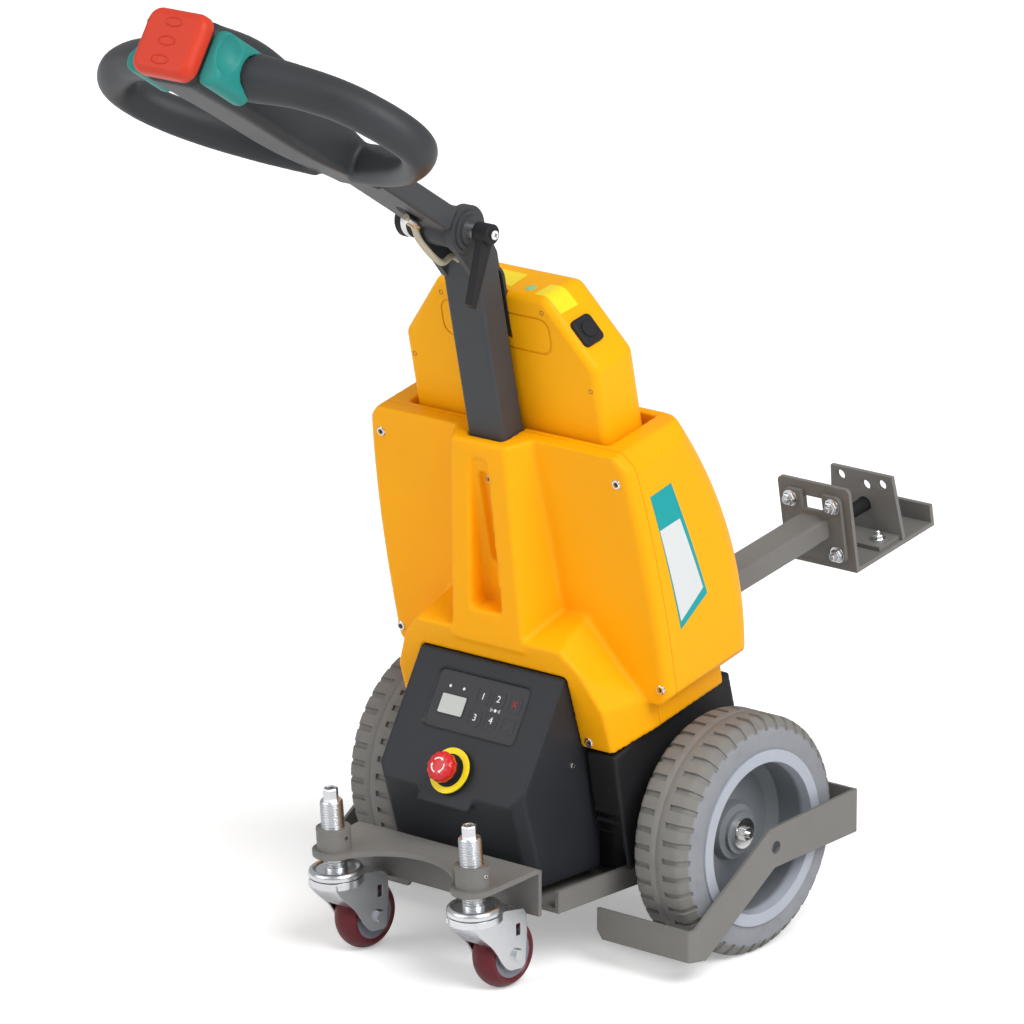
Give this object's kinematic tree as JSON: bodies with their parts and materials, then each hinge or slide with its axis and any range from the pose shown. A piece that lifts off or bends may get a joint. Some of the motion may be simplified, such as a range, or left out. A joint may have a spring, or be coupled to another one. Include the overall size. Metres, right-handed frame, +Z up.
{
  "type": "pedestrian electric tow tug",
  "caption": "Walk-behind battery tow tug with a hinged tiller, lift-out battery, drive wheels, swivel castors and a bolted rear coupling.",
  "frame": {"origin": "on the ground, below the centre of the tug's bounding box, halfway between the wheels", "axes": "+X to the side of the right wheel, +Y from the operator's tiller towards the coupling, +Z up"},
  "size_m": [0.512, 1.1982, 1.0881],
  "materials": {
    "shell_yellow": "satin",
    "battery_yellow": "satin",
    "dark_plastic": "fine grain",
    "housing_black": "matt",
    "frame_grey": "satin powder coat",
    "coupling_grey": "satin powder coat",
    "post_grey": "satin powder coat",
    "tyre_grey": "dusty",
    "rim_grey": "satin",
    "steel": "bright",
    "zinc": "zinc plated",
    "tread_red": "matt",
    "grip_rubber": "matt",
    "button_red": "satin",
    "throttle_teal": "satin",
    "keypad_black": "satin",
    "stop_yellow": "satin",
    "cable_beige": "satin",
    "drive_iron": "matt"
  },
  "bodies": {
    "chassis": {"castor_bracket": "frame_grey", "castor_stem_left": "zinc", "castor_stem_right": "zinc", "chassis_frame": "frame_grey", "clamp_bolt": "steel", "clamp_lever": "dark_plastic", "control_console": "dark_plastic", "coupling_arm": "coupling_grey", "coupling_bracket": "coupling_grey", "coupling_plunger": "steel", "coupling_tongue": "coupling_grey", "drive_unit": "drive_iron", "emergency_stop_base": "stop_yellow", "emergency_stop_button": "button_red", "front_shell": "shell_yellow", "keypad_panel": "keypad_black", "lower_housing": "housing_black", "rear_shell": "shell_yellow", "tiller_cable": "cable_beige", "tiller_post": "post_grey", "wheel_guard_left": "frame_grey", "wheel_guard_right": "frame_grey"},
    "battery": {"battery_pack": "battery_yellow", "battery_handle": "dark_plastic", "charge_port_cover": "dark_plastic"},
    "tiller": {"tiller_tube": "dark_plastic", "tiller_head": "dark_plastic", "grip_left": "grip_rubber", "grip_right": "grip_rubber", "belly_button": "button_red", "throttle_left": "throttle_teal", "throttle_right": "throttle_teal"},
    "wheel_left": {"tyre_left": "tyre_grey", "rim_left": "rim_grey", "axle_shaft_left": "steel"},
    "castor_swivel_left": {"castor_fork_left": "zinc"},
    "castor_roll_left": {"castor_wheel_left": "tread_red"},
    "wheel_right": {"tyre_right": "tyre_grey", "rim_right": "rim_grey", "axle_shaft_right": "steel"},
    "castor_swivel_right": {"castor_fork_right": "zinc"},
    "castor_roll_right": {"castor_wheel_right": "tread_red"}
  },
  "joints": [
    {"name": "wheel_spin_left", "type": "hinge", "parent": "chassis", "child": "wheel_left", "pos_m": [0, 0.06062, 0.13], "axis": [1, 0, 0], "continuous": true},
    {"name": "castor_turn_left", "type": "hinge", "parent": "chassis", "child": "castor_swivel_left", "pos_m": [-0.097, -0.23998, 0.116], "axis": [0, -0.0906, 0.9959], "continuous": true},
    {"name": "castor_spin_left", "type": "hinge", "parent": "castor_swivel_left", "child": "castor_roll_left", "pos_m": [-0.097, -0.19338, 0.0385], "axis": [1, 0, 0], "continuous": true},
    {"name": "wheel_spin_right", "type": "hinge", "parent": "chassis", "child": "wheel_right", "pos_m": [0, 0.06062, 0.13], "axis": [1, 0, 0], "continuous": true},
    {"name": "castor_turn_right", "type": "hinge", "parent": "chassis", "child": "castor_swivel_right", "pos_m": [0.097, -0.23998, 0.116], "axis": [0, -0.0906, 0.9959], "continuous": true},
    {"name": "castor_spin_right", "type": "hinge", "parent": "castor_swivel_right", "child": "castor_roll_right", "pos_m": [0.097, -0.19338, 0.0385], "axis": [1, 0, 0], "continuous": true},
    {"name": "battery_lift", "type": "slide", "parent": "chassis", "child": "battery", "axis": [0, -0.2164, 0.9763], "range_m": [0, 0.16]},
    {"name": "tiller_tilt", "type": "hinge", "parent": "chassis", "child": "tiller", "pos_m": [0, -0.1665, 0.79869], "axis": [1, 0, 0], "range_deg": [-45, 40], "deforming": ["tiller_cable"]}
  ]
}
